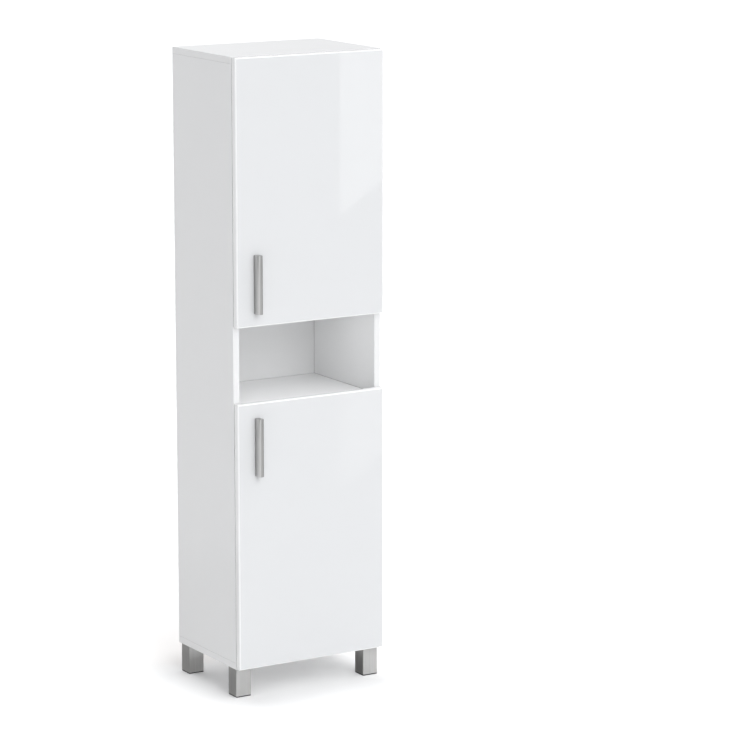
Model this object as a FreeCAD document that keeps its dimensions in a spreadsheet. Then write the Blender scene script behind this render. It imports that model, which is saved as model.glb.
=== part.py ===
import FreeCAD, Part
import os
import types
from collections import defaultdict

# Freestanding bathroom cabinet: a door above and a door below an open niche, on four square legs.
# Millimetres, +Z up, the front faces -Y, the origin is on the floor under the middle of the cabinet.

SIZES = {
    # carcass boards
    "cabinet_width": 450,
    "carcass_depth": 320,
    "carcass_height": 1630,
    "board": 18,
    "board_edge_radius": 1,
    "back_thickness": 3,
    "back_inset": 1.5,
    "niche_floor_height": 706,
    "niche_height": 218,
    # loose shelves and the pins that carry them
    "shelf_setback": 10,
    "shelf_play": 0.75,
    "shelf_rest_gap": 0.1,
    "shelf_pin_front": 58,
    "shelf_pin_back": 50,
    "shelf_pin_plug_radius": 2.5,
    "shelf_pin_plug_length": 9,
    "shelf_pin_stub_radius": 3,
    "shelf_pin_stub_length": 9,
    "shelf_hole_pitch": 32,
    # cam fittings and dowels between the boards
    "cam_front": 131,
    "cam_back": 45,
    "cam_radius": 7.5,
    "cam_depth": 12.5,
    "cam_reach": 34,
    "cam_slot_width": 1.4,
    "cam_slot_length": 9,
    "cam_slot_depth": 1.6,
    "bolt_thread_radius": 3,
    "bolt_thread_length": 11,
    "bolt_neck_radius": 2,
    "bolt_head_radius": 3.2,
    "bolt_head_length": 3,
    "dowel_front": 60,
    "dowel_radius": 4,
    "dowel_half_length": 12,
    # nails of the back panel
    "nail_head_radius": 2.5,
    "nail_head_length": 0.8,
    "nail_radius": 0.9,
    "nail_length": 20,
    "nail_end_distance": 60,
    # legs
    "leg_height": 80,
    "leg_width": 45,
    "leg_wall": 1.5,
    "leg_edge_radius": 3,
    "leg_side_inset": 5,
    "leg_front_inset": 6,
    "leg_plate_thickness": 8,
    "leg_screw_spread": 24,
    "leg_screw_head_radius": 3.6,
    "leg_screw_head_length": 2.4,
    "leg_screw_radius": 1.9,
    "leg_screw_length": 19,
    "glide_height": 3,
    "glide_inset": 1,
    "glide_plug_height": 10,
    # doors and handles
    "door_thickness": 18,
    "door_gap": 2,
    "door_inset": 1.5,
    "lower_door_lap": 15,
    "door_edge_radius": 4.5,
    "handle_width": 16,
    "handle_depth": 24,
    "handle_nose": 4.5,
    "handle_length": 155,
    "upper_handle_end_distance": 35,
    "lower_handle_end_distance": 40,
    "handle_edge_distance": 58.5,
    "handle_wall": 2.5,
    "handle_boss_radius": 4.5,
    "handle_screw_spacing": 128,
    "handle_screw_head_radius": 4.2,
    "handle_screw_head_length": 2.2,
    "handle_screw_radius": 2,
    "handle_screw_grip": 12,
    # hinges
    "hinge_end_distance": 100,
    "hinge_pin_edge_distance": 4,
    "hinge_pin_face_depth": 5,
    "hinge_pin_radius": 1.5,
    "hinge_pin_play": 0.1,
    "knuckle_radius": 3,
    "knuckle_clearance": 0.8,
    "neck_half_height": 5,
    "neck_gap": 1.4,
    "neck_thickness": 3,
    "neck_riser": 4.2,
    "arm_gap": 3.2,
    "arm_height": 13,
    "arm_half_height": 7,
    "arm_setback": 8,
    "arm_length": 54,
    "arm_front_wall": 5,
    "arm_web": 2,
    "arm_skin": 1.6,
    "arm_screw_head_radius": 3.5,
    "arm_screw_head_length": 2,
    "arm_screw_radius": 2,
    "arm_screw_length": 8,
    "arm_screw_front_distance": 30,
    "arm_screw_back_distance": 50,
    "plate_thickness": 2.5,
    "plate_centre": 37,
    "plate_wing_width": 14,
    "plate_wing_half_height": 27,
    "plate_half_length": 20,
    "plate_half_height": 8.5,
    "plate_rail_half_length": 17,
    "plate_screw_spacing": 32,
    "plate_screw_head_radius": 4,
    "plate_screw_head_length": 1.6,
    "plate_screw_radius": 2.2,
    "plate_screw_length": 13,
    "cup_radius": 17.5,
    "cup_depth": 12,
    "cup_floor": 1.5,
    "cup_edge_distance": 21.5,
    "cup_rim": 1.2,
    "cup_cheek": 2.4,
    "cup_cheek_end": 1,
    "cup_slot_side": 0.6,
    "cup_slot_end": 2,
    "flange_thickness": 1,
    "flange_half_height": 31,
    "flange_near": 2,
    "flange_far": 14,
    "cup_screw_spacing": 48,
    "cup_screw_offset": 6,
    "cup_screw_head_radius": 3.5,
    "cup_screw_head_length": 1.2,
    "cup_screw_radius": 1.8,
    "cup_screw_length": 12,
    # clearances
    "fit": 0.2,
    "overcut": 1,
}

doc = FreeCAD.newDocument("bathroom_cabinet")
sheet = doc.addObject("Spreadsheet::Sheet", "Sizes")
for row, (name, value) in enumerate(SIZES.items(), start=1):
    sheet.set(f"A{row}", name)
    sheet.set(f"B{row}", str(value))
    sheet.setAlias(f"B{row}", name)
doc.recompute()


class Size:
    """A length written as an expression on the sheet's cells."""

    def __init__(self, text):
        self.text = str(text)

    def __str__(self):
        return self.text

    def __add__(self, other):
        return Size(f"({self} + {other})")

    def __radd__(self, other):
        return Size(f"({other} + {self})")

    def __sub__(self, other):
        return Size(f"({self} - {other})")

    def __rsub__(self, other):
        return Size(f"({other} - {self})")

    def __mul__(self, other):
        return Size(f"({self} * {other})")

    def __rmul__(self, other):
        return Size(f"({other} * {self})")

    def __truediv__(self, other):
        return Size(f"({self} / {other})")

    def __neg__(self):
        return Size(f"(0 - {self})")


dim = types.SimpleNamespace(**{name: Size(f"Sizes.{name}") for name in SIZES})

TURNS = {
    "+x": FreeCAD.Rotation(FreeCAD.Vector(0, 1, 0), 90),
    "-x": FreeCAD.Rotation(FreeCAD.Vector(0, 1, 0), -90),
    "+y": FreeCAD.Rotation(FreeCAD.Vector(1, 0, 0), -90),
    "-y": FreeCAD.Rotation(FreeCAD.Vector(1, 0, 0), 90),
    "+z": FreeCAD.Rotation(),
    "-z": FreeCAD.Rotation(FreeCAD.Vector(1, 0, 0), 180),
}
OPPOSITE = {"+x": "-x", "-x": "+x", "+y": "-y", "-y": "+y", "+z": "-z", "-z": "+z"}
EDGE_TOLERANCE = 1e-6

nodes = []
bores = defaultdict(list)


def bind(item, **sizes):
    """Bind properties of an object to expressions."""
    for key, text in sizes.items():
        item.setExpression(key, str(text))


def seat(item, point):
    """Bind an object's place to expressions."""
    for axis, text in zip("xyz", point):
        item.setExpression(f"Placement.Base.{axis}", str(text))


def block(name, low, span):
    """A box from its lowest corner."""
    item = doc.addObject("Part::Box", name)
    bind(item, Length=span[0], Width=span[1], Height=span[2])
    seat(item, low)
    return item


def rod(name, start, axis, radius, length):
    """A cylinder from the middle of its first end, along a signed axis."""
    item = doc.addObject("Part::Cylinder", name)
    item.Placement = FreeCAD.Placement(FreeCAD.Vector(), TURNS[axis])
    bind(item, Radius=radius, Height=length)
    seat(item, start)
    return item


def along(point, axis, distance):
    """The point moved by a distance along a signed axis."""
    moved = list(point)
    index = "xyz".index(axis[1])
    moved[index] = point[index] + distance if axis[0] == "+" else point[index] - distance
    return tuple(moved)


def fuse(name, items):
    """One solid from touching solids, or a set of separate tools."""
    if len(items) == 1:
        return items[0]
    item = doc.addObject("Part::MultiFuse", name)
    item.Shapes = items
    item.Refine = True
    return item


def cut(name, base, tools):
    """A solid with tools taken out of it."""
    item = doc.addObject("Part::Cut", name)
    item.Base = base
    item.Tool = fuse(f"{name}_tools", tools)
    item.Refine = True
    return item


def common(name, items):
    """What several solids share."""
    item = doc.addObject("Part::MultiCommon", name)
    item.Shapes = items
    return item


def group(name, items):
    """A set of equal pieces that stay separate solids."""
    item = doc.addObject("Part::Compound", name)
    item.Links = items
    return item


def stepped(name, start, axis, steps):
    """A turned piece: cylinders of the given radii and lengths, one after the other."""
    sections = []
    for index, (radius, length) in enumerate(steps):
        sections.append(rod(f"{name}_{index}", start, axis, radius, length))
        start = along(start, axis, length)
    return fuse(name, sections)


def rounded_block(name, low, span, radius, chosen):
    """A box whose chosen edges are rounded."""
    body = doc.addObject("PartDesign::Body", f"{name}_body")
    solid = body.newObject("PartDesign::AdditiveBox", f"{name}_box")
    bind(solid, Length=span[0], Width=span[1], Height=span[2])
    doc.recompute()
    edges = [f"Edge{index}" for index, edge in enumerate(solid.Shape.Edges, start=1) if chosen(edge)]
    rounding = body.newObject("PartDesign::Fillet", f"{name}_rounding")
    rounding.Base = (solid, edges)
    bind(rounding, Radius=radius)
    seat(body, low)
    return body


def upright(edge):
    """True for an edge that runs along Z."""
    return edge.BoundBox.ZLength > max(edge.BoundBox.XLength, edge.BoundBox.YLength)


def on_front(edge):
    """True for an edge that lies in the box's front face, where Y is zero."""
    return edge.BoundBox.YMax < edge.Length * EDGE_TOLERANCE


def every(edge):
    """True for each edge of the box."""
    return edge.Length > 0


def plank(name, low, span):
    """A board whose edges are all slightly rounded."""
    return rounded_block(name, low, span, dim.board_edge_radius, every)


def node(label, item):
    """Give a finished piece its name and put it on the list of pieces to write."""
    item.Label = label
    nodes.append(item)


# Planes of the cabinet
half_width = dim.cabinet_width / 2
total_depth = dim.handle_depth + dim.door_thickness + dim.door_gap + dim.carcass_depth
door_front = dim.handle_depth - total_depth / 2
door_back = door_front + dim.door_thickness
front = door_back + dim.door_gap
back = total_depth / 2
panel_depth = dim.carcass_depth - dim.back_thickness
panel_back = back - dim.back_thickness
base = dim.leg_height
top = base + dim.carcass_height
inner_left = dim.board - half_width
inner_right = half_width - dim.board
inner_width = dim.cabinet_width - 2 * dim.board
niche_floor = base + dim.niche_floor_height
niche_ceiling = niche_floor + dim.niche_height
INNER = {"left": inner_left, "right": inner_right}
OUTWARD = {"left": "-x", "right": "+x"}
MIDDLE = {"left": (inner_left - half_width) / 2, "right": (inner_right + half_width) / 2}

# Boards, still without their bores
lower_floor = base + dim.board
niche_floor_bottom = niche_floor - dim.board
side_board = (dim.board, panel_depth, dim.carcass_height - 2 * dim.board)
full_board = (dim.cabinet_width, panel_depth, dim.board)
inner_board = (inner_width, panel_depth, dim.board)
back_board = (
    dim.cabinet_width - 2 * dim.back_inset,
    dim.back_thickness,
    dim.carcass_height - 2 * dim.back_inset,
)
back_corner = (dim.back_inset - half_width, panel_back, base + dim.back_inset)
boards = {
    "left_side_panel": plank("left_board", (-half_width, front, lower_floor), side_board),
    "right_side_panel": plank("right_board", (inner_right, front, lower_floor), side_board),
    "top_panel": plank("top_board", (-half_width, front, top - dim.board), full_board),
    "bottom_panel": plank("bottom_board", (-half_width, front, base), full_board),
    "niche_floor_shelf": plank("niche_floor_board", (inner_left, front, niche_floor_bottom), inner_board),
    "niche_top_shelf": plank("niche_top_board", (inner_left, front, niche_ceiling), inner_board),
    "back_panel": block("back_board", back_corner, back_board),
}

# Loose shelves on pins, with a spare hole above and below each pin
upper_floor = niche_ceiling + dim.board
upper_bay = (top - dim.board - upper_floor - 2 * dim.board) / 3
lower_bay = (niche_floor_bottom - lower_floor - dim.board) / 2
shelf_bottoms = {
    "upper_shelf_high": upper_floor + 2 * upper_bay + dim.board,
    "upper_shelf_low": upper_floor + upper_bay,
    "lower_shelf": lower_floor + lower_bay,
}
shelf_span = (inner_width - 2 * dim.shelf_play, panel_depth - dim.shelf_setback - dim.shelf_play, dim.board)
shelf_left = inner_left + dim.shelf_play
shelf_front = front + dim.shelf_setback
pin_rows = {"front": front + dim.shelf_pin_front, "back": back - dim.shelf_pin_back}
for shelf, bottom in shelf_bottoms.items():
    node(shelf, plank(f"{shelf}_board", (shelf_left, shelf_front, bottom), shelf_span))
    pin_height = bottom - dim.shelf_rest_gap - dim.shelf_pin_stub_radius
    pins = []
    for side, inner in INNER.items():
        outward = OUTWARD[side]
        for row, depth in pin_rows.items():
            mouth = (inner, depth, pin_height)
            pins.append(stepped(
                f"{shelf}_pin_{side}_{row}",
                along(mouth, OPPOSITE[outward], dim.shelf_pin_stub_length),
                outward,
                [
                    (dim.shelf_pin_stub_radius, dim.shelf_pin_stub_length),
                    (dim.shelf_pin_plug_radius, dim.shelf_pin_plug_length),
                ],
            ))
            for step in (-1, 0, 1):
                hole = along(mouth, "+z", step * dim.shelf_hole_pitch)
                bores[f"{side}_side_panel"].append(rod(
                    f"{shelf}_hole_{side}_{row}_{step + 1}", hole, outward,
                    dim.shelf_pin_plug_radius + dim.fit, dim.shelf_pin_plug_length + dim.overcut,
                ))
    node(f"{shelf}_pins", group(f"{shelf}_pin_set", pins))

# Cam locks with their bolts, and dowels, at every joint of a fixed board with a side panel
cams = []
bolts = []
dowels = []


def cam_joint(name, joint, axis, cam_board, bolt_board, cam_face, cam_axis):
    """A cam in one board that pulls on a bolt screwed into the other, through the joint's plane."""
    cross = "y" if "y" not in (axis[1], cam_axis[1]) else "z"
    blank = rod(f"{name}_cam_blank", cam_face, cam_axis, dim.cam_radius, dim.cam_depth)
    passage = rod(
        f"{name}_passage", joint, axis,
        dim.bolt_head_radius + dim.fit, dim.cam_reach + dim.bolt_head_length,
    )
    slots = []
    for spin in (axis[1], cross):
        span = {"x": dim.cam_slot_width, "y": dim.cam_slot_width, "z": dim.cam_slot_width}
        span[spin] = dim.cam_slot_length
        span[cam_axis[1]] = 2 * dim.cam_slot_depth
        low = tuple(cam_face[index] - span[letter] / 2 for index, letter in enumerate("xyz"))
        slots.append(block(f"{name}_slot_{spin}", low, (span["x"], span["y"], span["z"])))
    cams.append(cut(f"{name}_cam", blank, [passage] + slots))
    bolts.append(stepped(
        f"{name}_bolt",
        along(joint, OPPOSITE[axis], dim.bolt_thread_length),
        axis,
        [
            (dim.bolt_thread_radius, dim.bolt_thread_length),
            (dim.bolt_neck_radius, dim.cam_reach - dim.bolt_head_length / 2),
            (dim.bolt_head_radius, dim.bolt_head_length),
        ],
    ))
    bores[cam_board].append(rod(
        f"{name}_cam_bore", cam_face, cam_axis, dim.cam_radius + dim.fit, dim.cam_depth + dim.fit,
    ))
    bores[cam_board].append(rod(
        f"{name}_bolt_bore", joint, axis, dim.bolt_head_radius + dim.fit, dim.cam_reach,
    ))
    bores[bolt_board].append(rod(
        f"{name}_thread_bore", joint, OPPOSITE[axis],
        dim.bolt_thread_radius + dim.fit, dim.bolt_thread_length + dim.fit,
    ))


def dowel_joint(name, joint, axis, near_board, far_board):
    """A dowel half in each board."""
    start = along(joint, OPPOSITE[axis], dim.dowel_half_length)
    dowels.append(rod(f"{name}_dowel", start, axis, dim.dowel_radius, 2 * dim.dowel_half_length))
    for index, (board, way) in enumerate(((far_board, axis), (near_board, OPPOSITE[axis]))):
        bores[board].append(rod(
            f"{name}_dowel_bore_{index}", joint, way,
            dim.dowel_radius + dim.fit, dim.dowel_half_length + dim.fit,
        ))


cam_rows = {"front": front + dim.cam_front, "back": back - dim.cam_back}
dowel_depth = front + dim.dowel_front
end_joints = {"top_panel": (top - dim.board, "-z"), "bottom_panel": (lower_floor, "+z")}
shelf_joints = {"niche_floor_shelf": niche_floor_bottom, "niche_top_shelf": niche_ceiling}
for side, inner in INNER.items():
    panel = f"{side}_side_panel"
    inward = OPPOSITE[OUTWARD[side]]
    for board, (height, way) in end_joints.items():
        for row, depth in cam_rows.items():
            joint = (MIDDLE[side], depth, height)
            face = along((inner, depth, height), way, dim.cam_reach)
            cam_joint(f"{board}_{side}_{row}", joint, way, panel, board, face, OUTWARD[side])
        dowel_joint(f"{board}_{side}", (MIDDLE[side], dowel_depth, height), way, board, panel)
    for board, bottom in shelf_joints.items():
        height = bottom + dim.board / 2
        for row, depth in cam_rows.items():
            joint = (inner, depth, height)
            face = along((inner, depth, bottom), inward, dim.cam_reach)
            cam_joint(f"{board}_{side}_{row}", joint, inward, board, panel, face, "+z")
        dowel_joint(f"{board}_{side}", (inner, dowel_depth, height), inward, panel, board)
node("cam_locks", group("cam_set", cams))
node("cam_bolts", group("bolt_set", bolts))
node("wooden_dowels", group("dowel_set", dowels))

# Nails that hold the back panel to the edges of the boards
nails = []
NAILS_PER_SIDE = 8
NAILS_PER_LEVEL = 3
nail_run = side_board[2] - 2 * dim.nail_end_distance
nail_levels = {
    "bottom_panel": base,
    "niche_floor_shelf": niche_floor_bottom,
    "niche_top_shelf": niche_ceiling,
    "top_panel": top - dim.board,
}
nail_places = []
for side in INNER:
    for index in range(NAILS_PER_SIDE):
        height = lower_floor + dim.nail_end_distance + nail_run * index / (NAILS_PER_SIDE - 1)
        nail_places.append((f"{side}_{index}", f"{side}_side_panel", MIDDLE[side], height))
for board, bottom in nail_levels.items():
    for index in range(NAILS_PER_LEVEL):
        across = inner_left + inner_width * (index + 1) / (NAILS_PER_LEVEL + 1)
        nail_places.append((f"{board}_{index}", board, across, bottom + dim.board / 2))
for tag, board, across, height in nail_places:
    head = (across, back, height)
    nails.append(stepped(
        f"nail_{tag}", head, "-y",
        [(dim.nail_head_radius, dim.nail_head_length), (dim.nail_radius, dim.nail_length)],
    ))
    bores["back_panel"].append(rod(
        f"nail_{tag}_seat", head, "-y", dim.nail_head_radius + dim.fit, dim.nail_head_length,
    ))
    for target in ("back_panel", board):
        bores[target].append(rod(
            f"nail_{tag}_bore_{target}", head, "-y",
            dim.nail_radius + dim.fit, dim.nail_head_length + dim.nail_length + dim.fit,
        ))
node("back_nails", group("nail_set", nails))

# Legs: a square tube round a plate that is screwed up into the bottom panel, with a glide underneath
leg_screws = []
bore_width = dim.leg_width - 2 * dim.leg_wall
plug_width = bore_width - 2 * dim.fit
leg_rows = {"front": front + dim.leg_front_inset, "back": back - dim.leg_front_inset - dim.leg_width}
leg_columns = {
    "left": dim.leg_side_inset - half_width,
    "right": half_width - dim.leg_side_inset - dim.leg_width,
}
for row, leg_front in leg_rows.items():
    for side, leg_left in leg_columns.items():
        name = f"{row}_{side}_leg"
        tube = rounded_block(
            name, (leg_left, leg_front, dim.glide_height),
            (dim.leg_width, dim.leg_width, base - dim.glide_height), dim.leg_edge_radius, upright,
        )
        hollow = block(
            f"{name}_hollow",
            (leg_left + dim.leg_wall, leg_front + dim.leg_wall, dim.glide_height - dim.overcut),
            (bore_width, bore_width, base - dim.glide_height + 2 * dim.overcut),
        )
        node(name, cut(f"{name}_tube", tube, [hollow]))
        plug_left = leg_left + dim.leg_wall + dim.fit
        plug_front = leg_front + dim.leg_wall + dim.fit
        plate_bottom = base - dim.leg_plate_thickness
        plate = block(
            f"{name}_plate_block", (plug_left, plug_front, plate_bottom),
            (plug_width, plug_width, dim.leg_plate_thickness),
        )
        holes = []
        for spread_x in (-1, 1):
            for spread_y in (-1, 1):
                tag = f"{name}_screw_{spread_x + 1}{spread_y + 1}"
                spot = (
                    leg_left + dim.leg_width / 2 + spread_x * dim.leg_screw_spread / 2,
                    leg_front + dim.leg_width / 2 + spread_y * dim.leg_screw_spread / 2,
                    plate_bottom,
                )
                leg_screws.append(stepped(
                    tag, along(spot, "-z", dim.leg_screw_head_length), "+z",
                    [
                        (dim.leg_screw_head_radius, dim.leg_screw_head_length),
                        (dim.leg_screw_radius, dim.leg_screw_length),
                    ],
                ))
                holes.append(rod(
                    f"{tag}_hole", along(spot, "-z", dim.overcut), "+z",
                    dim.leg_screw_radius + dim.fit, dim.leg_plate_thickness + 2 * dim.overcut,
                ))
                bores["bottom_panel"].append(rod(
                    f"{tag}_bore", spot, "+z",
                    dim.leg_screw_radius + dim.fit, dim.leg_screw_length + dim.fit,
                ))
        node(f"{name}_plate", cut(f"{name}_plate_bored", plate, holes))
        pad = block(
            f"{name}_pad", (leg_left + dim.glide_inset, leg_front + dim.glide_inset, 0),
            (dim.leg_width - 2 * dim.glide_inset, dim.leg_width - 2 * dim.glide_inset, dim.glide_height),
        )
        plug = block(
            f"{name}_plug", (plug_left, plug_front, dim.glide_height),
            (plug_width, plug_width, dim.glide_plug_height),
        )
        node(f"{name}_glide", fuse(f"{name}_glide_solid", [pad, plug]))
node("leg_screws", group("leg_screw_set", leg_screws))

# Doors: each covers the edges of the boards around its cupboard and turns on two cup hinges at the right
door_left = dim.door_inset - half_width
door_width = dim.cabinet_width - 2 * dim.door_inset
lower_door_top = niche_floor + dim.lower_door_lap
doors = {
    "upper": (niche_ceiling, top - dim.door_inset - niche_ceiling),
    "lower": (base + dim.door_inset, lower_door_top - base - dim.door_inset),
}
edge_reach = dim.board - dim.door_inset
pin_reach = edge_reach - dim.hinge_pin_edge_distance
cup_inset = dim.cup_edge_distance - edge_reach
pin_x = inner_right + pin_reach
pin_y = door_back - dim.hinge_pin_face_depth
cup_x = inner_right - cup_inset
door_right = half_width - dim.door_inset
knuckle_room = dim.hinge_pin_face_depth + dim.knuckle_radius + dim.knuckle_clearance
housing_depth = knuckle_room + dim.cup_floor
slot_half = dim.neck_half_height + dim.cup_slot_side
housing_half = slot_half + dim.cup_cheek
riser_left = inner_right - dim.arm_gap - dim.neck_riser
neck_back = front - dim.neck_gap
neck_front = neck_back - dim.neck_thickness
arm_left = inner_right - dim.arm_height
arm_start = front + dim.arm_setback
plate_left = inner_right - dim.plate_thickness
plate_y = front + dim.plate_centre
plate_screws = []
arm_screws = []


def layer(name, low_x, high_x, low_y, high_y, height, half):
    """A box that is as tall above as below the hinge's middle."""
    return block(name, (low_x, low_y, height - half), (high_x - low_x, high_y - low_y, 2 * half))


def hinge_plate(name, height):
    """The cross-shaped plate on the side panel, with the rail that carries the arm."""
    wings = layer(
        f"{name}_wings", plate_left, inner_right,
        plate_y - dim.plate_wing_width / 2, plate_y + dim.plate_wing_width / 2,
        height, dim.plate_wing_half_height,
    )
    strip = layer(
        f"{name}_strip", plate_left, inner_right,
        plate_y - dim.plate_half_length, plate_y + dim.plate_half_length, height, dim.plate_half_height,
    )
    rail = layer(
        f"{name}_rail", arm_left + dim.arm_web, plate_left,
        plate_y - dim.plate_rail_half_length, plate_y + dim.plate_rail_half_length,
        height, dim.arm_half_height - dim.arm_skin - dim.fit,
    )
    holes = []
    for way in ("+z", "-z"):
        tag = f"{name}_screw_{'high' if way == '+z' else 'low'}"
        spot = along((plate_left, plate_y, height), way, dim.plate_screw_spacing / 2)
        plate_screws.append(stepped(
            tag, along(spot, "-x", dim.plate_screw_head_length), "+x",
            [
                (dim.plate_screw_head_radius, dim.plate_screw_head_length),
                (dim.plate_screw_radius, dim.plate_screw_length),
            ],
        ))
        holes.append(rod(
            f"{tag}_hole", spot, "+x",
            dim.plate_screw_radius + dim.fit, dim.plate_thickness + dim.overcut,
        ))
        bores["right_side_panel"].append(rod(
            f"{tag}_bore", spot, "+x",
            dim.plate_screw_radius + dim.fit, dim.plate_screw_length + dim.fit,
        ))
    for index, depth in enumerate((dim.arm_screw_front_distance, dim.arm_screw_back_distance)):
        holes.append(rod(
            f"{name}_rail_hole_{index}", (arm_left + dim.arm_web, front + depth, height), "+x",
            dim.arm_screw_radius + dim.fit, dim.arm_screw_length - dim.arm_web + dim.fit,
        ))
    node(name, cut(f"{name}_bored", fuse(f"{name}_cross", [wings, strip, rail]), holes))


def hinge_arm(name, height):
    """The arm over the rail, with the bent neck that reaches round the panel's edge to the hinge pin."""
    knuckle = rod(
        f"{name}_knuckle", (pin_x, pin_y, height - dim.neck_half_height), "+z",
        dim.knuckle_radius, 2 * dim.neck_half_height,
    )
    post = layer(
        f"{name}_post", pin_x - dim.knuckle_radius, pin_x + dim.knuckle_radius, pin_y, neck_back,
        height, dim.neck_half_height,
    )
    bar = layer(f"{name}_bar", riser_left, pin_x, neck_front, neck_back, height, dim.neck_half_height)
    riser = layer(
        f"{name}_riser", riser_left, inner_right - dim.arm_gap, neck_front, arm_start + dim.arm_front_wall,
        height, dim.neck_half_height,
    )
    shell = layer(
        f"{name}_shell", arm_left, inner_right - dim.arm_gap, arm_start, arm_start + dim.arm_length,
        height, dim.arm_half_height,
    )
    hollow = layer(
        f"{name}_hollow", arm_left + dim.arm_web, inner_right - dim.arm_gap + dim.overcut,
        arm_start + dim.arm_front_wall, arm_start + dim.arm_length + dim.overcut,
        height, dim.arm_half_height - dim.arm_skin,
    )
    pin_bore = rod(
        f"{name}_pin_bore", (pin_x, pin_y, height - dim.neck_half_height - dim.overcut), "+z",
        dim.hinge_pin_radius + dim.hinge_pin_play, 2 * dim.neck_half_height + 2 * dim.overcut,
    )
    holes = [hollow, pin_bore]
    for index, depth in enumerate((dim.arm_screw_front_distance, dim.arm_screw_back_distance)):
        spot = (arm_left, front + depth, height)
        arm_screws.append(stepped(
            f"{name}_screw_{index}", along(spot, "-x", dim.arm_screw_head_length), "+x",
            [
                (dim.arm_screw_head_radius, dim.arm_screw_head_length),
                (dim.arm_screw_radius, dim.arm_screw_length),
            ],
        ))
        holes.append(rod(
            f"{name}_hole_{index}", along(spot, "-x", dim.overcut), "+x",
            dim.arm_screw_radius + dim.fit, dim.arm_web + 2 * dim.overcut,
        ))
    node(name, cut(f"{name}_bored", fuse(f"{name}_solid", [knuckle, post, bar, riser, shell]), holes))


def hinge_cup(name, height, mortises, pins, screws):
    """The cup in the door's inner face: a slot for the arm's neck between two cheeks that hold the pin."""
    cup = rod(f"{name}_cup", (cup_x, door_back, height), "-y", dim.cup_radius, dim.cup_depth)
    rim = rod(
        f"{name}_rim", (cup_x, door_back + dim.flange_thickness, height), "-y",
        dim.cup_radius + dim.cup_rim, dim.flange_thickness,
    )
    housing = layer(
        f"{name}_housing", cup_x, door_right - dim.cup_cheek_end, door_back - housing_depth, door_back,
        height, housing_half,
    )
    flange = layer(
        f"{name}_flange", cup_x - dim.flange_far, cup_x + dim.flange_near,
        door_back, door_back + dim.flange_thickness, height, dim.flange_half_height,
    )
    slot = layer(
        f"{name}_slot", riser_left - dim.cup_slot_end, door_right + dim.overcut,
        door_back - knuckle_room, door_back + dim.flange_thickness + dim.overcut, height, slot_half,
    )
    pin_start = (pin_x, pin_y, height - housing_half)
    pins.append(rod(f"{name}_pin", pin_start, "+z", dim.hinge_pin_radius, 2 * housing_half))
    pin_bore = rod(
        f"{name}_pin_bore", along(pin_start, "-z", dim.overcut), "+z",
        dim.hinge_pin_radius + dim.hinge_pin_play, 2 * housing_half + 2 * dim.overcut,
    )
    holes = [slot, pin_bore]
    for way in ("+z", "-z"):
        tag = f"{name}_screw_{'high' if way == '+z' else 'low'}"
        between = (cup_x - dim.cup_screw_offset, door_back + dim.flange_thickness, height)
        spot = along(between, way, dim.cup_screw_spacing / 2)
        screws.append(stepped(
            tag, along(spot, "+y", dim.cup_screw_head_length), "-y",
            [
                (dim.cup_screw_head_radius, dim.cup_screw_head_length),
                (dim.cup_screw_radius, dim.cup_screw_length),
            ],
        ))
        for target, holder in (("hole", holes), ("bore", mortises)):
            holder.append(rod(
                f"{tag}_{target}", spot, "-y",
                dim.cup_screw_radius + dim.fit, dim.cup_screw_length + dim.fit,
            ))
    node(name, cut(f"{name}_bored", fuse(f"{name}_solid", [cup, rim, housing, flange]), holes))
    mortises.append(rod(
        f"{name}_cup_bore", (cup_x, door_back, height), "-y",
        dim.cup_radius + dim.fit, dim.cup_depth + dim.fit,
    ))
    mortises.append(layer(
        f"{name}_notch", cup_x, door_right + dim.overcut, door_back - housing_depth - dim.fit,
        door_back + dim.overcut, height, housing_half + dim.fit,
    ))


def handle(name, low, mortises):
    """A bow-fronted bar on the door, hollow behind, held by two screws through the door."""
    middle = door_left + dim.handle_edge_distance
    half = dim.handle_width / 2
    flank = dim.handle_depth - dim.handle_nose
    nose_radius = (half * half + dim.handle_nose * dim.handle_nose) / (2 * dim.handle_nose)
    body_front = door_front - dim.handle_depth
    envelope = block(
        f"{name}_envelope", (middle - half, body_front, low),
        (dim.handle_width, dim.handle_depth, dim.handle_length),
    )
    flanks = block(
        f"{name}_flanks", (middle - half, door_front - flank, low),
        (dim.handle_width, flank, dim.handle_length),
    )
    nose_axis = (middle, body_front + nose_radius, low)
    nose = rod(f"{name}_nose", nose_axis, "+z", nose_radius, dim.handle_length)
    bar = common(f"{name}_bar", [envelope, fuse(f"{name}_section", [flanks, nose])])
    channel = block(
        f"{name}_channel",
        (middle - half + dim.handle_wall, door_front - flank + dim.handle_wall, low + dim.handle_wall),
        (dim.handle_width - 2 * dim.handle_wall, flank, dim.handle_length - 2 * dim.handle_wall),
    )
    screws = []
    bosses = []
    holes = []
    for index, way in enumerate(("-z", "+z")):
        spot = along((middle, door_back, low + dim.handle_length / 2), way, dim.handle_screw_spacing / 2)
        bosses.append(rod(
            f"{name}_boss_{index}", (spot[0], door_front, spot[2]), "-y", dim.handle_boss_radius, flank,
        ))
        screws.append(stepped(
            f"{name}_screw_{index}", along(spot, "+y", dim.handle_screw_head_length), "-y",
            [
                (dim.handle_screw_head_radius, dim.handle_screw_head_length),
                (dim.handle_screw_radius, dim.door_thickness + dim.handle_screw_grip),
            ],
        ))
        for target, holder in (("hole", holes), ("bore", mortises)):
            holder.append(rod(
                f"{name}_{target}_{index}", spot, "-y",
                dim.handle_screw_radius + dim.fit, dim.door_thickness + dim.handle_screw_grip + dim.fit,
            ))
    shell = fuse(f"{name}_with_bosses", [cut(f"{name}_shell", bar, [channel])] + bosses)
    node(name, cut(f"{name}_bored", shell, holes))
    node(f"{name}_screws", group(f"{name}_screw_set", screws))


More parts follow.
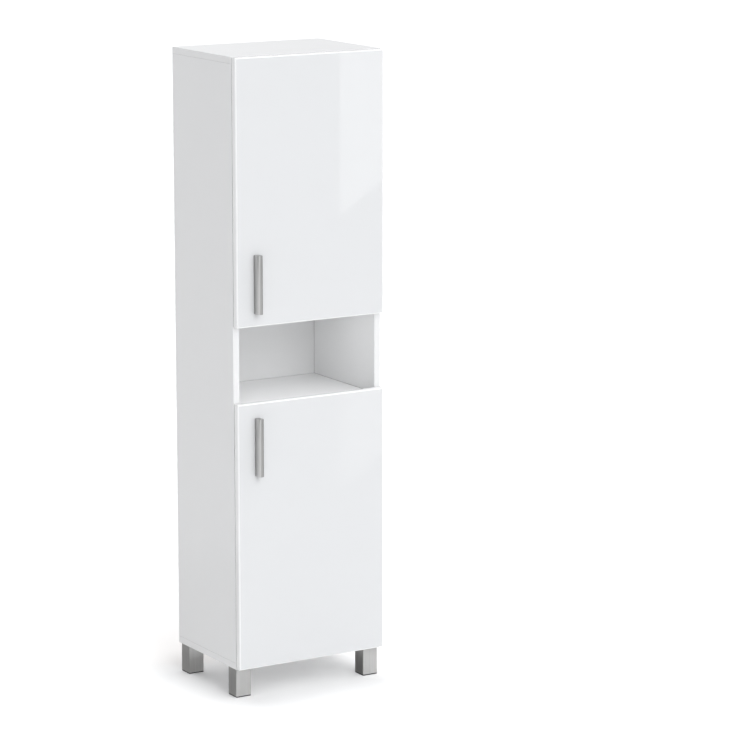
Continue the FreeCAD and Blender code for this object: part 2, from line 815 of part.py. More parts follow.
handle_lows = {
    "upper": niche_ceiling + dim.upper_handle_end_distance,
    "lower": lower_door_top - dim.lower_handle_end_distance - dim.handle_length,
}
for level, (door_low, door_height) in doors.items():
    mortises = []
    pins = []
    screws = []
    hinge_heights = {
        "high": door_low + door_height - dim.hinge_end_distance,
        "low": door_low + dim.hinge_end_distance,
    }
    for end, height in hinge_heights.items():
        hinge = f"{level}_door_{end}_hinge"
        hinge_plate(f"{hinge}_plate", height)
        hinge_arm(f"{hinge}_arm", height)
        hinge_cup(f"{hinge}_cup", height, mortises, pins, screws)
    handle(f"{level}_handle", handle_lows[level], mortises)
    leaf = rounded_block(
        f"{level}_leaf", (door_left, door_front, door_low),
        (door_width, dim.door_thickness, door_height), dim.door_edge_radius, on_front,
    )
    node(f"{level}_door", cut(f"{level}_door_bored", leaf, mortises))
    node(f"{level}_hinge_pins", group(f"{level}_pin_set", pins))
    node(f"{level}_cup_screws", group(f"{level}_cup_screw_set", screws))
node("hinge_plate_screws", group("plate_screw_set", plate_screws))
node("hinge_arm_screws", group("arm_screw_set", arm_screws))

# Boards with all their bores
for name, board in boards.items():
    node(name, cut(f"{name}_bored", board, bores[name]))

doc.recompute()
for item in doc.Objects:
    if "Invalid" in item.State or "Error" in item.State:
        raise RuntimeError(f"{item.Label} did not build: {item.State}")
for item in nodes:
    if item.Shape.isNull() or not item.Shape.isValid() or not item.Shape.Solids:
        raise RuntimeError(f"{item.Label} has no valid solid")

os.makedirs("parts", exist_ok=True)
for item in nodes:
    item.Shape.exportStep(f"parts/{item.Label}.step")
    print(item.Label, len(item.Shape.Solids), round(item.Shape.Volume, 1))
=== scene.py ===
import logging
import math
from dataclasses import dataclass
from enum import Enum
from typing import Any, Optional, Sequence, Union

import bmesh
import bpy
from mathutils import Matrix, Vector


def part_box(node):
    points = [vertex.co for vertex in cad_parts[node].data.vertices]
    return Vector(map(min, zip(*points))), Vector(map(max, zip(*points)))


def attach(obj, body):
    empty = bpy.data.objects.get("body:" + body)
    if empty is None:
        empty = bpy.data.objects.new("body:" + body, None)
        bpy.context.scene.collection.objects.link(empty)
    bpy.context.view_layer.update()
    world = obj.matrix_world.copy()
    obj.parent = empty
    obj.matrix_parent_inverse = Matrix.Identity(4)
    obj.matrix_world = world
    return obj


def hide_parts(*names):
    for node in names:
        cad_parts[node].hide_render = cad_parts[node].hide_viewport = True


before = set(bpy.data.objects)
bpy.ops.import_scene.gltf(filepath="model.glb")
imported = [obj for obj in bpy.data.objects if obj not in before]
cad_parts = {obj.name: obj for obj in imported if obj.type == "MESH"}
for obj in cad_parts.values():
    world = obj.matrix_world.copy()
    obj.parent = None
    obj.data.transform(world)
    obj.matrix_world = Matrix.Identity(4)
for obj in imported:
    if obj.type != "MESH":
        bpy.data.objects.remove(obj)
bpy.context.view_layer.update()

LOG = logging.getLogger("bathroom_cabinet")

Colour = tuple[float, float, float]
Span = tuple[float, float]
Point = tuple[float, float, float]
Number = Union[float, "Wire"]
Inputs = dict[Union[str, int], Any]
Ring = Sequence[Vector]

BLACK: Colour = (0.0, 0.0, 0.0)
WHITE: Colour = (1.0, 1.0, 1.0)
MIDDLE_TONES: Span = (0.3, 0.7)
WELD_REACH = 1e-6
QUARTER_TURN = math.radians(90.0)


class Body(str, Enum):
    """The bodies of the frame that pieces ride on."""

    CARCASS = "carcass"
    UPPER_LEAF = "upper_door_leaf"
    LOWER_LEAF = "lower_door_leaf"


class Level(str, Enum):
    """The two cupboards, one above and one below the open niche."""

    UPPER = "upper"
    LOWER = "lower"

    @property
    def leaf(self) -> Body:
        """The body of this cupboard's door."""
        return Body.UPPER_LEAF if self is Level.UPPER else Body.LOWER_LEAF


class Heading(Enum):
    """The way that a screw's head faces."""

    LEFT = (-1.0, 0.0, 0.0)
    BACK = (0.0, 1.0, 0.0)
    DOWN = (0.0, 0.0, -1.0)

    @property
    def vector(self) -> Vector:
        """The heading as a unit vector."""
        return Vector(self.value)


class Grain(Enum):
    """The way that a texture is drawn out, as shares of its density along X, Y and Z."""

    UPRIGHT = (1.0, 1.0, 0.012)
    EVEN = (1.0, 1.0, 1.0)

    def density(self, per_metre: float) -> Vector:
        """The texture's density along each axis."""
        return Vector(self.value) * per_metre


# Shader maths


class Wire:
    """An output of a node, on which Python's operators add Math nodes."""

    def __init__(self, sheet: "NodeSheet", socket: bpy.types.NodeSocket) -> None:
        """Keep the sheet and the socket.

        Args:
            sheet: The sheet that the node stands on.
            socket: The node's output.
        """
        self.sheet = sheet
        self.socket = socket

    def __add__(self, other: Number) -> "Wire":
        """The sum."""
        return self.sheet.math("ADD", self, other)

    def __radd__(self, other: Number) -> "Wire":
        """The sum, from the right."""
        return self.sheet.math("ADD", other, self)

    def __sub__(self, other: Number) -> "Wire":
        """The difference."""
        return self.sheet.math("SUBTRACT", self, other)

    def __rsub__(self, other: Number) -> "Wire":
        """The difference, from the right."""
        return self.sheet.math("SUBTRACT", other, self)

    def __mul__(self, other: Number) -> "Wire":
        """The product."""
        return self.sheet.math("MULTIPLY", self, other)

    def __rmul__(self, other: Number) -> "Wire":
        """The product, from the right."""
        return self.sheet.math("MULTIPLY", other, self)

    def __pow__(self, other: Number) -> "Wire":
        """The power."""
        return self.sheet.math("POWER", self, other)

    def __neg__(self) -> "Wire":
        """The negative."""
        return self.sheet.math("MULTIPLY", self, -1.0)

    def __abs__(self) -> "Wire":
        """The size without its sign."""
        return self.sheet.math("ABSOLUTE", self)

    def greater(self, other: Number) -> "Wire":
        """The greater of the two."""
        return self.sheet.math("MAXIMUM", self, other)

    def between(self, low: float, high: float) -> "Wire":
        """A soft step.

        Args:
            low: Where it starts to rise from 0.
            high: Where it reaches 1.

        Returns:
            The step's value.
        """
        return self.sheet.add(
            "ShaderNodeMapRange",
            {"interpolation_type": "SMOOTHSTEP"},
            {"Value": self, "From Min": low, "From Max": high},
        )


class NodeSheet:
    """A node tree, and the one method that puts nodes on it."""

    edge_samples: int = 4
    seam_shade_samples: int = 8
    seam_shade_step: Span = (0.5, 0.85)

    def __init__(self, tree: bpy.types.NodeTree) -> None:
        """Keep the tree."""
        self.tree = tree

    def feed(self, node: bpy.types.Node, inputs: Inputs) -> None:
        """Set or link a node's inputs.

        Args:
            node: The node.
            inputs: Values or wires, by the sockets' names or places.
        """
        for key, value in inputs.items():
            if isinstance(value, Wire):
                self.tree.links.new(value.socket, node.inputs[key])
            else:
                node.inputs[key].default_value = value

    def add(
        self,
        kind: str,
        settings: Optional[dict[str, Any]] = None,
        inputs: Optional[Inputs] = None,
        output: Union[str, int] = 0,
    ) -> Wire:
        """Put a node on the sheet.

        Args:
            kind: The node's type.
            settings: Properties of the node, set before its inputs.
            inputs: Values or wires, by the sockets' names or places.
            output: The name or place of the output that is wanted.

        Returns:
            The output as a wire.
        """
        node = self.tree.nodes.new(kind)
        for name, value in (settings or {}).items():
            setattr(node, name, value)
        self.feed(node, inputs or {})
        return Wire(self, node.outputs[output])

    def math(self, operation: str, *values: Number) -> Wire:
        """One Math node.

        Args:
            operation: The node's operation.
            values: Its inputs in order.

        Returns:
            The result.
        """
        return self.add("ShaderNodeMath", {"operation": operation}, dict(enumerate(values)))

    def place(self) -> Wire:
        """The point on the piece, in its own axes, in metres."""
        return self.add("ShaderNodeTexCoord", output="Object")

    def facing(self) -> tuple[Wire, Wire, Wire]:
        """The three parts of the way that the surface faces, in the piece's own axes."""
        return self.parts(self.add("ShaderNodeTexCoord", output="Normal"))

    def parts(self, vector: Wire) -> tuple[Wire, Wire, Wire]:
        """The three parts of a vector."""
        split = self.add("ShaderNodeSeparateXYZ", None, {"Vector": vector}).socket.node
        return tuple(Wire(self, split.outputs[axis]) for axis in "XYZ")

    def mix(self, share: Number, first: Any, second: Any) -> Wire:
        """A colour between two others.

        Args:
            share: How much of the second colour there is.
            first: A colour, or a wire that carries one.
            second: The other colour.

        Returns:
            The mixed colour.
        """
        ends = [part if isinstance(part, Wire) else (*part, 1.0) for part in (first, second)]
        return self.add(
            "ShaderNodeMix", {"data_type": "RGBA"}, {0: share, 6: ends[0], 7: ends[1]}, 2
        )

    def noise(self, density: Vector, detail: float = 2.0, roughness: float = 0.5) -> Wire:
        """Cloudy noise from 0 to 1.

        Args:
            density: Clouds per metre along each axis.
            detail: How many finer layers it has.
            roughness: How strong the finer layers are.

        Returns:
            The noise.
        """
        spot = self.add(
            "ShaderNodeVectorMath", {"operation": "MULTIPLY"}, {0: self.place(), 1: density}
        )
        return self.add(
            "ShaderNodeTexNoise",
            None,
            {"Vector": spot, "Scale": 1.0, "Detail": detail, "Roughness": roughness},
        )

    def soft_edges(self, radius: float) -> Wire:
        """Normals that round the edges of a piece by a small radius."""
        return self.add("ShaderNodeBevel", {"samples": self.edge_samples}, {"Radius": radius})

    def joints(self, reach: float) -> Wire:
        """Painted shade from ambient occlusion, with dark seam lines: 1 in the seams and creases where
        pieces meet, and 0 further from them than the reach.
        """
        settings = {"samples": self.seam_shade_samples}
        openness = self.add("ShaderNodeAmbientOcclusion", settings, {"Distance": reach}, "AO")
        return 1.0 - openness.between(*self.seam_shade_step)

    def relief(self, height: Wire, depth: float, normal: Optional[Wire] = None) -> Wire:
        """Normals of a fine relief.

        Args:
            height: The relief, from 0 to 1.
            depth: Its real depth in metres.
            normal: The normals that it stands on, if not the plain ones.

        Returns:
            The normals.
        """
        inputs: Inputs = {"Strength": 1.0, "Distance": depth, "Height": height}
        if normal is not None:
            inputs["Normal"] = normal
        return self.add("ShaderNodeBump", None, inputs)


# Finishes


@dataclass(frozen=True)
class Finish:
    """A finish, named for the record's material slot that it fills."""

    slot: str

    def surface(self, sheet: NodeSheet) -> Inputs:
        """The shader's inputs.

        Args:
            sheet: The material's node sheet.

        Returns:
            Values and wires by socket name.
        """
        raise NotImplementedError

    def material(self) -> bpy.types.Material:
        """The finish's material, made the first time that it is asked for."""
        name = f"{self.slot}_finish"
        if name in bpy.data.materials:
            return bpy.data.materials[name]
        made = bpy.data.materials.new(name)
        made.use_nodes = True
        sheet = NodeSheet(made.node_tree)
        sheet.feed(made.node_tree.nodes["Principled BSDF"], self.surface(sheet))
        return made

    def coat(self, *nodes: str) -> None:
        """Give CAD nodes this finish.

        Args:
            nodes: The nodes' names.
        """
        for name in nodes:
            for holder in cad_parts[name].material_slots:
                holder.material = self.material()
            LOG.info("%s: %s", name, self.slot)

    def finish_piece(self, piece: bpy.types.Object, body: Body, *nodes: str) -> None:
        """Give a new piece this finish and put it in the place of CAD nodes.

        Args:
            piece: The piece, in place.
            body: The body that it rides on.
            nodes: The nodes that it stands for.
        """
        piece.data.materials.append(self.material())
        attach(piece, body.value)
        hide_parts(*nodes)
        LOG.info("%s: new piece in %s", piece.name, self.slot)


@dataclass(frozen=True)
class GlossFront(Finish):
    """High-gloss lacquer on the doors with a slight ripple, a painted highlight over the edges and satin
    inside.
    """

    colour: Colour = (0.716, 0.7235, 0.732)
    clouded: Colour = (0.709, 0.717, 0.7255)
    painted_highlight_edge: Colour = (0.985, 0.987, 0.99)
    inside: Colour = (0.940, 0.942, 0.943)
    painted_highlight_turn: Span = (0.88, 0.995)
    inside_turn: Span = (0.6, 0.9)
    roughness: float = 0.015
    cloud_roughness: float = 0.01
    dust_roughness: float = 0.015
    inside_roughness: float = 0.3
    ripple_depth: float = 0.000004
    ior: float = 1.5

    def surface(self, sheet: NodeSheet) -> Inputs:
        """The shader's inputs, as in Finish."""
        _, outward, _ = sheet.facing()
        # Painted highlight: faces that turn away from the front, the rounded and side edges, get a far
        # brighter colour than the front.
        rim = 1.0 - abs(outward).between(*self.painted_highlight_turn)
        inner = outward.between(*self.inside_turn)
        cloud = sheet.noise(Grain.EVEN.density(6.0))
        ripple = sheet.noise(Grain.EVEN.density(55.0), detail=1.0)
        dust = sheet.noise(Grain.EVEN.density(900.0))
        flat = sheet.mix(inner, sheet.mix(cloud, self.colour, self.clouded), self.inside)
        uneven = self.cloud_roughness * cloud + self.dust_roughness * dust
        return {
            "Base Color": sheet.mix(rim, flat, self.painted_highlight_edge),
            "Roughness": self.roughness + uneven + self.inside_roughness * inner,
            "IOR": self.ior,
            "Normal": sheet.relief(ripple, self.ripple_depth),
        }


@dataclass(frozen=True)
class Melamine(Finish):
    """White melamine board with a fine pearl, and a smoother band glued on its front edges that is painted
    darker as shade. Its seams and creases carry dark lines and painted shade.
    """

    colour: Colour = (0.940, 0.942, 0.943)
    clouded: Colour = (0.930, 0.933, 0.935)
    band_with_painted_shade: Colour = (0.808, 0.811, 0.815)
    seam_and_shade_colour: Colour = (0.60, 0.60, 0.60)
    seam_shade_reach: float = 0.003
    band_turn: Span = (0.85, 0.97)
    roughness: float = 0.34
    pearl_roughness: float = 0.1
    band_gloss: float = 0.1
    pearl_depth: float = 0.00004
    ior: float = 1.5

    def surface(self, sheet: NodeSheet) -> Inputs:
        """The shader's inputs, as in Finish."""
        _, outward, _ = sheet.facing()
        # Painted shade: the front-facing band gets a darker colour than the board; its smoother gloss is
        # real.
        band_with_painted_shade = (-outward).between(*self.band_turn)
        pearl = sheet.noise(Grain.EVEN.density(850.0), detail=3.0, roughness=0.6)
        cloud = sheet.noise(Grain.EVEN.density(9.0), detail=3.0)
        board = sheet.mix(band_with_painted_shade, sheet.mix(cloud, self.colour, self.clouded), self.band_with_painted_shade)
        return {
            # Dark seam lines and painted shade, from ambient occlusion, darken the board in its seams and
            # creases.
            "Base Color": sheet.mix(sheet.joints(self.seam_shade_reach), board, self.seam_and_shade_colour),
            "Roughness": self.roughness + self.pearl_roughness * (pearl - 0.5) - self.band_gloss * band_with_painted_shade,
            "IOR": self.ior,
            "Normal": sheet.relief(pearl, self.pearl_depth),
        }


@dataclass(frozen=True)
class Hardboard(Finish):
    """Thin hardboard, lacquered white on the inside and bare brown fibre on the back."""

    lacquer: Colour = (0.845, 0.847, 0.848)
    clouded: Colour = (0.835, 0.838, 0.840)
    fibre: Colour = (0.33, 0.205, 0.115)
    dark_fibre: Colour = (0.185, 0.105, 0.055)
    seam_and_shade_colour: Colour = (0.60, 0.60, 0.60)
    seam_shade_reach: float = 0.003
    back_turn: Span = (0.3, 0.8)
    roughness: float = 0.38
    bare_roughness: float = 0.35
    fleck_roughness: float = 0.08
    fleck_depth: float = 0.00008
    edge_radius: float = 0.0004

    def surface(self, sheet: NodeSheet) -> Inputs:
        """The shader's inputs, as in Finish."""
        _, outward, _ = sheet.facing()
        bare = outward.between(*self.back_turn)
        cloud = sheet.noise(Grain.EVEN.density(10.0), detail=3.0)
        fleck = sheet.noise(Grain.EVEN.density(420.0), detail=4.0, roughness=0.7)
        strand = sheet.noise(Vector((90.0, 90.0, 300.0)), detail=3.0, roughness=0.65)
        mesh = (0.6 * fleck + 0.4 * strand).between(*MIDDLE_TONES)
        lacquer = sheet.mix(cloud, self.lacquer, self.clouded)
        # Dark seam lines and painted shade, from ambient occlusion, darken the lacquer in its seams and
        # creases.
        inside = sheet.mix(sheet.joints(self.seam_shade_reach), lacquer, self.seam_and_shade_colour)
        outside = sheet.mix(mesh, self.dark_fibre, self.fibre)
        uneven = self.bare_roughness * bare + self.fleck_roughness * (fleck - 0.5)
        return {
            "Base Color": sheet.mix(bare, inside, outside),
            "Roughness": self.roughness + uneven,
            "Normal": sheet.relief(fleck, self.fleck_depth, sheet.soft_edges(self.edge_radius)),
        }


@dataclass(frozen=True)
class BrushedMetal(Finish):
    """Nickel-plated metal drawn out in fine upright brush lines.

    Painted shade darkens its right half, and its left flank towards the foot, where the metal faces
    sideways. A loss of 0 leaves both out.
    """

    light: Colour = (0.62, 0.617, 0.609)
    dark: Colour = (0.515, 0.511, 0.503)
    roughness: float = 0.32
    flank_painted_shade: float = 0.45
    foot: Span = (-0.176, -0.155)
    left_turn: Span = (0.25, 0.85)
    bow_turn: Span = (-0.45, -0.1)
    right_turn: Span = (0.0, 0.5)
    bow_share: float = 0.65
    line_roughness: float = 0.18
    cloud_roughness: float = 0.08
    line_depth: float = 0.00003
    edge_radius: float = 0.0003

    def surface(self, sheet: NodeSheet) -> Inputs:
        """The shader's inputs, as in Finish."""
        across, _, _ = sheet.facing()
        _, depth, _ = sheet.parts(sheet.place())
        # Painted shade: the colour is darkened on the left flank near the door, over the bow and on the
        # right side.
        left = (-across).between(*self.left_turn) * depth.between(*self.foot)
        bow = self.bow_share * across.between(*self.bow_turn)
        right = (1.0 - self.bow_share) * across.between(*self.right_turn)
        painted_flank_shade = self.flank_painted_shade * (left + bow + right)
        line = sheet.noise(Grain.UPRIGHT.density(1500.0), detail=3.0, roughness=0.7)
        streak = sheet.noise(Grain.UPRIGHT.density(260.0))
        cloud = sheet.noise(Grain.EVEN.density(30.0))
        tone = (0.5 * line + 0.35 * streak + 0.15 * cloud).between(*MIDDLE_TONES)
        uneven = self.line_roughness * (line - 0.5) + self.cloud_roughness * (cloud - 0.5)
        return {
            "Base Color": sheet.mix(painted_flank_shade, sheet.mix(tone, self.dark, self.light), BLACK),
            "Roughness": self.roughness + uneven,
            "Metallic": 1.0,
            "Normal": sheet.relief(line, self.line_depth, sheet.soft_edges(self.edge_radius)),
        }


@dataclass(frozen=True)
class PlatedMetal(Finish):
    """Small stamped or turned fittings with a plated skin, slightly clouded by handling."""

    light: Colour = (0.66, 0.65, 0.62)
    dark: Colour = (0.52, 0.51, 0.49)
    roughness: float = 0.22
    handled_tones: Span = (0.32, 0.68)
    cloud_roughness: float = 0.14
    scratch_roughness: float = 0.1
    scratch_depth: float = 0.000015
    edge_radius: float = 0.0003

    def surface(self, sheet: NodeSheet) -> Inputs:
        """The shader's inputs, as in Finish."""
        cloud = sheet.noise(Grain.EVEN.density(70.0), detail=3.0)
        scratch = sheet.noise(Vector((1800.0, 220.0, 260.0)), detail=3.0, roughness=0.7)
        handled = (0.6 * cloud + 0.4 * scratch).between(*self.handled_tones)
        uneven = self.cloud_roughness * (cloud - 0.5) + self.scratch_roughness * (scratch - 0.5)
        return {
            "Base Color": sheet.mix(handled, self.dark, self.light),
            "Roughness": self.roughness + uneven,
            "Metallic": 1.0,
            "Normal": sheet.relief(scratch, self.scratch_depth, sheet.soft_edges(self.edge_radius)),
        }


@dataclass(frozen=True)
class BeechWood(Finish):
    """Plain beech with fine flecks along the grain."""

    light: Colour = (0.62, 0.43, 0.26)
    dark: Colour = (0.47, 0.29, 0.16)
    roughness: float = 0.55
    fleck_roughness: float = 0.15
    fleck_depth: float = 0.00008

    def surface(self, sheet: NodeSheet) -> Inputs:
        """The shader's inputs, as in Finish."""
        fleck = sheet.noise(Vector((240.0, 900.0, 900.0)), detail=3.0, roughness=0.65)
        ring = sheet.noise(Vector((25.0, 260.0, 260.0)))
        tone = (0.5 * fleck + 0.5 * ring).between(*MIDDLE_TONES)
        return {
            "Base Color": sheet.mix(tone, self.dark, self.light),
            "Roughness": self.roughness + self.fleck_roughness * (fleck - 0.5),
            "Normal": sheet.relief(fleck, self.fleck_depth),
        }


@dataclass(frozen=True)
class MouldedPlastic(Finish):
    """Dark moulded plastic with a fine eroded grain."""

    light: Colour = (0.034, 0.034, 0.036)
    dark: Colour = (0.018, 0.018, 0.019)
    roughness: float = 0.46
    grain_roughness: float = 0.16
    grain_depth: float = 0.00006
    edge_radius: float = 0.0004

    def surface(self, sheet: NodeSheet) -> Inputs:
        """The shader's inputs, as in Finish."""
        grain = sheet.noise(Grain.EVEN.density(1400.0), detail=3.0, roughness=0.65)
        cloud = sheet.noise(Grain.EVEN.density(60.0))
        return {
            "Base Color": sheet.mix(cloud, self.dark, self.light),
            "Roughness": self.roughness + self.grain_roughness * (grain - 0.5),
            "Normal": sheet.relief(grain, self.grain_depth, sheet.soft_edges(self.edge_radius)),
        }


@dataclass(frozen=True)
class FloorPaper(Finish):
    """The pale seamless paper of the floor.

    Light of its own, a painted glow, brightens it away from the cabinet for the camera and falls on the
    cabinet's left side.
    """

    light: Colour = (0.985, 0.985, 0.985)
    dark: Colour = (0.975, 0.975, 0.975)
    roughness: float = 0.8
    cloud_roughness: float = 0.1
    sheen: float = 0.1
    glow: float = 0.27
    stray: float = 1.0
    stray_middle: float = -0.52
    stray_fade: Span = (0.15, 0.45)
    half_width: float = 0.17
    half_depth: float = 0.15
    glow_reach: float = 0.24

    def surface(self, sheet: NodeSheet) -> Inputs:
        """The shader's inputs, as in Finish."""
        cloud = sheet.noise(Grain.EVEN.density(2.0), detail=3.0)
        across, depth, _ = sheet.parts(sheet.place())
        aside = (abs(across) - self.half_width).greater(0.0)
        beyond = (abs(depth) - self.half_depth).greater(0.0)
        away = ((aside * aside + beyond * beyond) ** 0.5).between(0.0, self.glow_reach)
        offset = across - self.stray_middle
        near = 1.0 - ((offset * offset + depth * depth) ** 0.5).between(*self.stray_fade)
        seen = sheet.add("ShaderNodeLightPath", output="Is Camera Ray")
        # Painted glow: seen by the camera the floor glows away from the cabinet, and for other rays it glows
        # near the cabinet's left side and lights it.
        glow_share = away * seen + self.stray * near * (1.0 - seen)
        return {
            "Base Color": sheet.mix(cloud, self.dark, self.light),
            "Roughness": self.roughness + self.cloud_roughness * cloud,
            "Specular IOR Level": self.sheen,
            "Emission Color": sheet.mix(glow_share, BLACK, WHITE),
            "Emission Strength": self.glow,
        }


GLOSS = GlossFront("white_gloss_front")
MELAMINE = Melamine("white_melamine")
HARDBOARD = Hardboard("white_hardboard")
HANDLE_METAL = BrushedMetal("brushed_nickel_handle")
LEG_METAL = BrushedMetal(
    "brushed_steel_legs", light=(0.60, 0.597, 0.588), dark=(0.51, 0.507, 0.5), roughness=0.36, flank_painted_shade=0.0
)
HINGE_METAL = PlatedMetal("nickel_hinges")
FITTING_METAL = PlatedMetal(
    "nickel_fittings", light=(0.60, 0.60, 0.60), dark=(0.46, 0.46, 0.46), roughness=0.3
)
SCREW_METAL = PlatedMetal("zinc_screws", light=(0.70, 0.71, 0.74), dark=(0.56, 0.57, 0.60), roughness=0.26)
BEECH = BeechWood("beech_dowels")
PLASTIC = MouldedPlastic("black_leg_plastic")
PAPER = FloorPaper("floor_paper")


# Mesh work


class Loft:
    """A piece that is drawn over rings of points."""

    def __init__(self, name: str) -> None:
        """Start an empty mesh.

        Args:
            name: The piece's name.
        """
        self.name = name
        self.mesh = bmesh.new()

    def draw(self, rings: Sequence[Ring], round_trip: bool = False) -> None:
        """Draw a skin over rings that have the same number of points.

        Args:
            rings: The rings in order.
            round_trip: True joins the last ring to the first, and otherwise both ends are closed.
        """
        loops = [[self.mesh.verts.new(point) for point in ring] for ring in rings]
        follow = loops[1:] + loops[:1] if round_trip else loops[1:]
        for near, far in zip(loops, follow):
            for index in range(len(near)):
                after = (index + 1) % len(near)
                self.mesh.faces.new((near[index], near[after], far[after], far[index]))
        if not round_trip:
            self.mesh.faces.new(loops[0][::-1])
            self.mesh.faces.new(loops[-1])

    def build(self, crease: float = 35.0) -> bpy.types.Object:
        """Make the object.

        Args:
            crease: Edges that turn by more than these degrees stay sharp.

        Returns:
            The object, in the scene.
        """
        bmesh.ops.recalc_face_normals(self.mesh, faces=self.mesh.faces[:])
        data = bpy.data.meshes.new(self.name)
        self.mesh.to_mesh(data)
        self.mesh.free()
        data.polygons.foreach_set("use_smooth", [True] * len(data.polygons))
        data.set_sharp_from_angle(angle=math.radians(crease))
        made = bpy.data.objects.new(self.name, data)
        bpy.context.scene.collection.objects.link(made)
        return made


def solids_of(node: str) -> list[tuple[Vector, Vector]]:
    """The boxes of a CAD node's separate solids.

    Args:
        node: The node's name.

    Returns:
        The lowest and the highest corner of each solid.
    """
    copy = bmesh.new()
    copy.from_mesh(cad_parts[node].data)
    bmesh.ops.remove_doubles(copy, verts=copy.verts[:], dist=WELD_REACH)
    waiting = set(copy.verts)
    boxes = []
    while waiting:
        reached = [waiting.pop()]
        points = []
        while reached:
            vertex = reached.pop()
            points.append(vertex.co.copy())
            near = [link.other_vert(vertex) for link in vertex.link_edges]
            fresh = [other for other in near if other in waiting]
            waiting.difference_update(fresh)
            reached.extend(fresh)
        boxes.append((
            Vector([min(point[axis] for point in points) for axis in range(3)]),
            Vector([max(point[axis] for point in points) for axis in range(3)]),
        ))
    copy.free()
    return boxes


# Sub-assemblies


@dataclass
class Carcass:
    """The boards of the cabinet with its loose shelves and hidden fittings."""

    boards: tuple[str, ...] = (
        "left_side_panel", "right_side_panel", "top_panel", "bottom_panel",
        "niche_floor_shelf", "niche_top_shelf",
    )
    shelves: tuple[str, ...] = ("upper_shelf_high", "upper_shelf_low", "lower_shelf")

    def dress(self) -> None:
        """Give the boards, the shelves and the fittings their finishes."""
        MELAMINE.coat(*self.boards, *self.shelves)
        HARDBOARD.coat("back_panel")
        FITTING_METAL.coat("cam_locks", *(f"{shelf}_pins" for shelf in self.shelves))
        SCREW_METAL.coat("cam_bolts", "back_nails")
        BEECH.coat("wooden_dowels")


@dataclass
class Leg:
    """A square brushed leg: a tube with rounded corners, a screw plate in its top and a glide under it."""

    name: str
    wall: float = 0.0015
    corner_radius: float = 0.003
    rim_radius: float = 0.0004
    rim_share: float = 0.3
    corner_steps: int = 6

    def outline(self, low: Vector, high: Vector, inset: float, height: float) -> list[Vector]:
        """A rounded square at one height.

        Args:
            low: The leg's lowest corner.
            high: The leg's highest corner.
            inset: How far the outline lies inside the leg's own.
            height: The outline's height.

        Returns:
            The points of the outline.
        """
        radius = self.corner_radius - inset
        inner = inset + radius
        centres = (
            (high.x - inner, high.y - inner), (low.x + inner, high.y - inner),
            (low.x + inner, low.y + inner), (high.x - inner, low.y + inner),
        )
        points = []
        for quarter, (x, y) in enumerate(centres):
            for step in range(self.corner_steps + 1):
                turn = QUARTER_TURN * (quarter + step / self.corner_steps)
                points.append(Vector((x + radius * math.cos(turn), y + radius * math.sin(turn), height)))
        return points

    def build(self) -> None:
        """Draw the tube in the place of the CAD one, and dress the plate and the glide."""
        low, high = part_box(self.name)
        rim = self.rim_radius
        soft = rim * self.rim_share
        steps = (
            (0.0, low.z + rim), (0.0, high.z - rim), (soft, high.z - soft), (rim, high.z),
            (self.wall, high.z), (self.wall, low.z), (rim, low.z), (soft, low.z + soft),
        )
        tube = Loft(f"{self.name}_tube")
        tube.draw([self.outline(low, high, inset, height) for inset, height in steps], round_trip=True)
        LEG_METAL.finish_piece(tube.build(), Body.CARCASS, self.name)
        PLASTIC.coat(f"{self.name}_plate", f"{self.name}_glide")


@dataclass
class Handle:
    """A bow-fronted bar that stands straight on the door."""

    level: Level
    bow: float = 0.008
    bow_power: float = 2.4
    bow_steps: int = 28
    end_radius: float = 0.0009
    end_steps: int = 4

    def section(self, low: Vector, high: Vector, inset: float) -> list[tuple[float, float]]:
        """The bar's section, from the door round the bow and back.

        Args:
            low: The bar's lowest corner.
            high: The bar's highest corner.
            inset: How far the section lies inside the bar's own.

        Returns:
            Points across and in depth.
        """
        middle = (low.x + high.x) / 2
        half = (high.x - low.x) / 2 - inset
        shoulder = low.y + self.bow
        rise = self.bow - inset
        points = [(middle + half, high.y), (middle + half, (high.y + shoulder) / 2)]
        for step in range(self.bow_steps + 1):
            turn = math.pi * step / self.bow_steps
            across = math.copysign(abs(math.cos(turn)) ** (2 / self.bow_power), math.cos(turn))
            outward = abs(math.sin(turn)) ** (2 / self.bow_power)
            points.append((middle + half * across, shoulder - rise * outward))
        points += [(middle - half, (high.y + shoulder) / 2), (middle - half, high.y)]
        return points

    def build(self) -> None:
        """Draw the bar in the place of the CAD one."""
        node = f"{self.level.value}_handle"
        low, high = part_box(node)
        ends = []
        for step in range(self.end_steps + 1):
            turn = QUARTER_TURN * step / self.end_steps
            ends.append((self.end_radius * (1 - math.sin(turn)), self.end_radius * (1 - math.cos(turn))))
        levels = [(inset, low.z + rise) for inset, rise in ends]
        levels += [(inset, high.z - rise) for inset, rise in reversed(ends)]
        bar = Loft(f"{node}_bar")
        bar.draw([
            [Vector((x, y, height)) for x, y in self.section(low, high, inset)]
            for inset, height in levels
        ])
        HANDLE_METAL.finish_piece(bar.build(), self.level.leaf, node)


